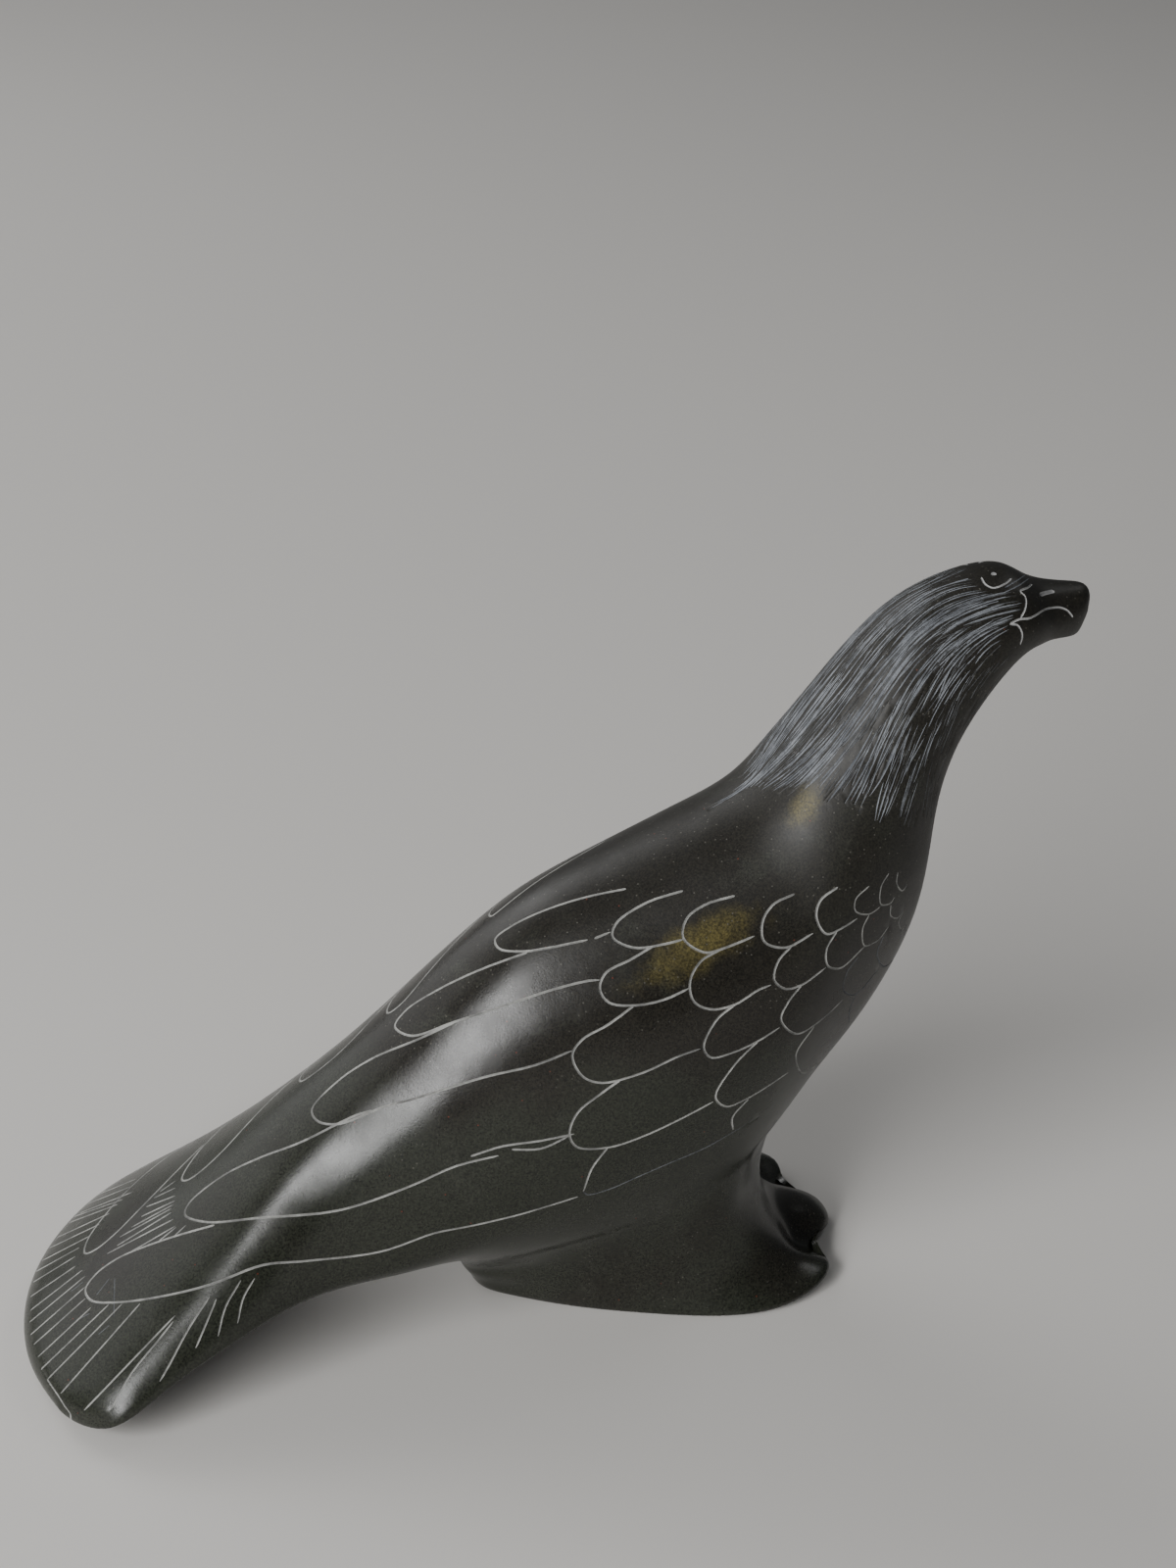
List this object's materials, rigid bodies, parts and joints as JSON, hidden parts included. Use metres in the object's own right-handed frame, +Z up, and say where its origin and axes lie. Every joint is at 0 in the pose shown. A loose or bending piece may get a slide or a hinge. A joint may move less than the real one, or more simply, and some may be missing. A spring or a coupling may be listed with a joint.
{
  "type": "stone bird figurine",
  "caption": "Perched bird carved with its plinth from one dark stone: fan tail down to the ground, long neck, blunt hooked beak, toes at the plinth's front.",
  "frame": {"origin": "under the middle of the carving's bounding box, on the plane it rests on", "axes": "+X from the tail towards the beak, +Y to the bird's left, +Z up"},
  "size_m": [0.2, 0.0636, 0.1388],
  "materials": {
    "polished_stone": "hand-rubbed satin polish with engraved light lines"
  },
  "bodies": {
    "root": {"stone_bird": "polished_stone"}
  },
  "joints": []
}
